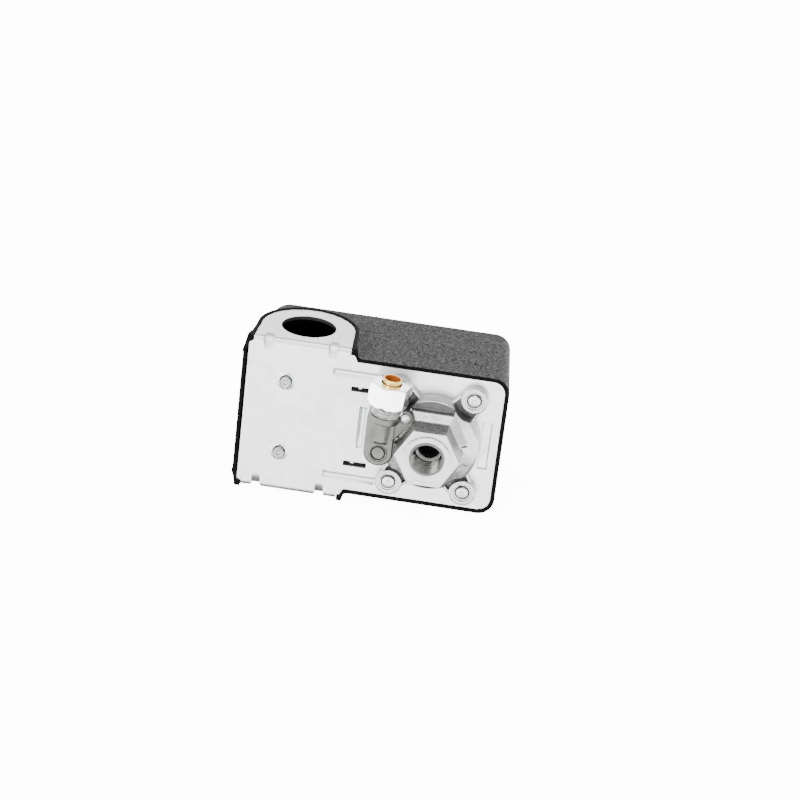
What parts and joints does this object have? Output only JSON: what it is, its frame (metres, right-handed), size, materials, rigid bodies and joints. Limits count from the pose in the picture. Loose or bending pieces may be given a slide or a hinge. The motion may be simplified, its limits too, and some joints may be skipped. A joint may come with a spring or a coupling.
{
  "type": "pressure switch",
  "caption": "Compressor pressure switch: folded steel base with conduit ears, cast flange with hexagonal port, unloader valve and boxy moulded cover.",
  "frame": {"origin": "centre of the pressure port's mouth, in the plane of the hexagon's end face", "axes": "+X along the base plate from the wiring end to the port end, +Y from the port into the cover, +Z from the lower conduit ear to the upper one"},
  "size_m": [0.1078, 0.0848, 0.0672],
  "materials": {
    "zinc_plated_steel": "zinc plated, satin",
    "bright_steel": "bright plated",
    "cast_zinc": "die cast, satin",
    "black_plastic": "moulded, matt",
    "grey_cover": "fine textured charcoal",
    "spring_steel": "drawn wire",
    "nickel": "bright nickel plate",
    "brass": "turned",
    "copper": "stamped copper alloy",
    "rubber": "moulded",
    "green_steel": "green grounding screw"
  },
  "bodies": {
    "body": {"base_plate": "zinc_plated_steel", "flange_casting": "cast_zinc", "diaphragm": "rubber", "inner_frame": "zinc_plated_steel", "lever_pin": "bright_steel", "carrier_pin": "bright_steel", "range_stud": "bright_steel", "range_spring": "spring_steel", "differential_stud": "bright_steel", "differential_spring": "spring_steel", "contact_block": "black_plastic", "toggle_spring": "spring_steel", "unloader_body": "cast_zinc", "unloader_plug": "bright_steel", "unloader_spring": "spring_steel", "unloader_screw": "bright_steel", "flange_screw_1": "bright_steel", "flange_screw_2": "bright_steel", "flange_screw_3": "bright_steel", "flange_screw_4": "bright_steel", "terminal_plate_1": "copper", "terminal_plate_2": "copper", "terminal_plate_3": "copper", "terminal_plate_4": "copper"},
    "cover": {"cover": "grey_cover"},
    "cover_nut": {"cover_nut": "nickel"},
    "lever": {"operating_lever": "zinc_plated_steel"},
    "piston": {"piston": "cast_zinc"},
    "carrier": {"contact_carrier": "black_plastic", "moving_contact_1": "copper", "moving_contact_2": "copper"},
    "plunger": {"unloader_plunger": "brass"},
    "range_seat": {"range_seat": "zinc_plated_steel"},
    "range_nut": {"range_nut": "bright_steel"},
    "differential_nut": {"differential_nut": "bright_steel"},
    "compression_nut": {"compression_nut": "nickel", "compression_sleeve": "brass"},
    "clamp_1": {"wire_clamp_1": "zinc_plated_steel"},
    "terminal_screw_1": {"terminal_screw_1": "bright_steel"},
    "clamp_2": {"wire_clamp_2": "zinc_plated_steel"},
    "terminal_screw_2": {"terminal_screw_2": "bright_steel"},
    "clamp_3": {"wire_clamp_3": "zinc_plated_steel"},
    "terminal_screw_3": {"terminal_screw_3": "bright_steel"},
    "clamp_4": {"wire_clamp_4": "zinc_plated_steel"},
    "terminal_screw_4": {"terminal_screw_4": "bright_steel"},
    "ground_screw_1": {"ground_screw_1": "green_steel"},
    "ground_screw_2": {"ground_screw_2": "green_steel"}
  },
  "joints": [
    {"name": "cover_lift", "type": "slide", "parent": "body", "child": "cover", "axis": [0, 1, 0], "range_m": [0, 0.06]},
    {"name": "cover_nut_turn", "type": "hinge", "parent": "cover", "child": "cover_nut", "pos_m": [-0.017, 0.0762, 0], "axis": [0, 1, 0], "continuous": true},
    {"name": "lever_tilt", "type": "hinge", "parent": "body", "child": "lever", "pos_m": [0.021, 0.028, 0], "axis": [0, 0, -1], "range_deg": [0, 1.5], "deforming": ["range_spring", "differential_spring", "toggle_spring"]},
    {"name": "piston_slide", "type": "slide", "parent": "body", "child": "piston", "axis": [0, 1, 0], "range_m": [0, 0.0006]},
    {"name": "carrier_tilt", "type": "hinge", "parent": "body", "child": "carrier", "pos_m": [-0.0283, 0.04, 0], "axis": [0, 0, -1], "range_deg": [0, 7.2]},
    {"name": "plunger_slide", "type": "slide", "parent": "body", "child": "plunger", "axis": [0, 1, 0], "range_m": [0, 0.0011], "deforming": ["unloader_spring"]},
    {"name": "range_seat_slide", "type": "slide", "parent": "body", "child": "range_seat", "axis": [0, 1, 0], "range_m": [-0.0016, 0.0016]},
    {"name": "range_nut_turn", "type": "hinge", "parent": "range_seat", "child": "range_nut", "pos_m": [-0.017, 0.0516, 0], "axis": [0, 1, 0], "range_deg": [-725, 725]},
    {"name": "differential_nut_turn", "type": "hinge", "parent": "body", "child": "differential_nut", "pos_m": [-0.0224, 0.0439, 0.0092], "axis": [0, 1, 0], "continuous": true},
    {"name": "compression_nut_turn", "type": "hinge", "parent": "body", "child": "compression_nut", "pos_m": [-0.0191, 0.0096, 0.0109], "axis": [0.0837, 0, 0.9965], "continuous": true},
    {"name": "clamp_rise_1", "type": "slide", "parent": "body", "child": "clamp_1", "axis": [0, 1, 0], "range_m": [0, 0.0016]},
    {"name": "terminal_turn_1", "type": "hinge", "parent": "clamp_1", "child": "terminal_screw_1", "pos_m": [-0.048, 0.0334, 0.014], "axis": [0, 1, 0], "range_deg": [0, 725]},
    {"name": "clamp_rise_2", "type": "slide", "parent": "body", "child": "clamp_2", "axis": [0, 1, 0], "range_m": [0, 0.0016]},
    {"name": "terminal_turn_2", "type": "hinge", "parent": "clamp_2", "child": "terminal_screw_2", "pos_m": [-0.048, 0.0334, 0.0048], "axis": [0, 1, 0], "range_deg": [0, 725]},
    {"name": "clamp_rise_3", "type": "slide", "parent": "body", "child": "clamp_3", "axis": [0, 1, 0], "range_m": [0, 0.0016]},
    {"name": "terminal_turn_3", "type": "hinge", "parent": "clamp_3", "child": "terminal_screw_3", "pos_m": [-0.048, 0.0334, -0.0048], "axis": [0, 1, 0], "range_deg": [0, 725]},
    {"name": "clamp_rise_4", "type": "slide", "parent": "body", "child": "clamp_4", "axis": [0, 1, 0], "range_m": [0, 0.0016]},
    {"name": "terminal_turn_4", "type": "hinge", "parent": "clamp_4", "child": "terminal_screw_4", "pos_m": [-0.048, 0.0334, -0.014], "axis": [0, 1, 0], "range_deg": [0, 725]},
    {"name": "ground_turn_1", "type": "hinge", "parent": "body", "child": "ground_screw_1", "pos_m": [-0.0609, 0.023, 0.0156], "axis": [0, 1, 0], "continuous": true},
    {"name": "ground_turn_2", "type": "hinge", "parent": "body", "child": "ground_screw_2", "pos_m": [-0.0609, 0.023, -0.0156], "axis": [0, 1, 0], "continuous": true}
  ],
  "couplings": [
    {"joint": "piston_slide", "follows": "lever_tilt", "m_per_rad": 0.021},
    {"joint": "carrier_tilt", "follows": "lever_tilt", "ratio": 4.6667},
    {"joint": "plunger_slide", "follows": "lever_tilt", "m_per_rad": 0.0412},
    {"joint": "range_nut_turn", "follows": "range_seat_slide", "rad_per_m": 7854},
    {"joint": "terminal_turn_1", "follows": "clamp_rise_1", "rad_per_m": 7854},
    {"joint": "terminal_turn_2", "follows": "clamp_rise_2", "rad_per_m": 7854},
    {"joint": "terminal_turn_3", "follows": "clamp_rise_3", "rad_per_m": 7854},
    {"joint": "terminal_turn_4", "follows": "clamp_rise_4", "rad_per_m": 7854}
  ]
}
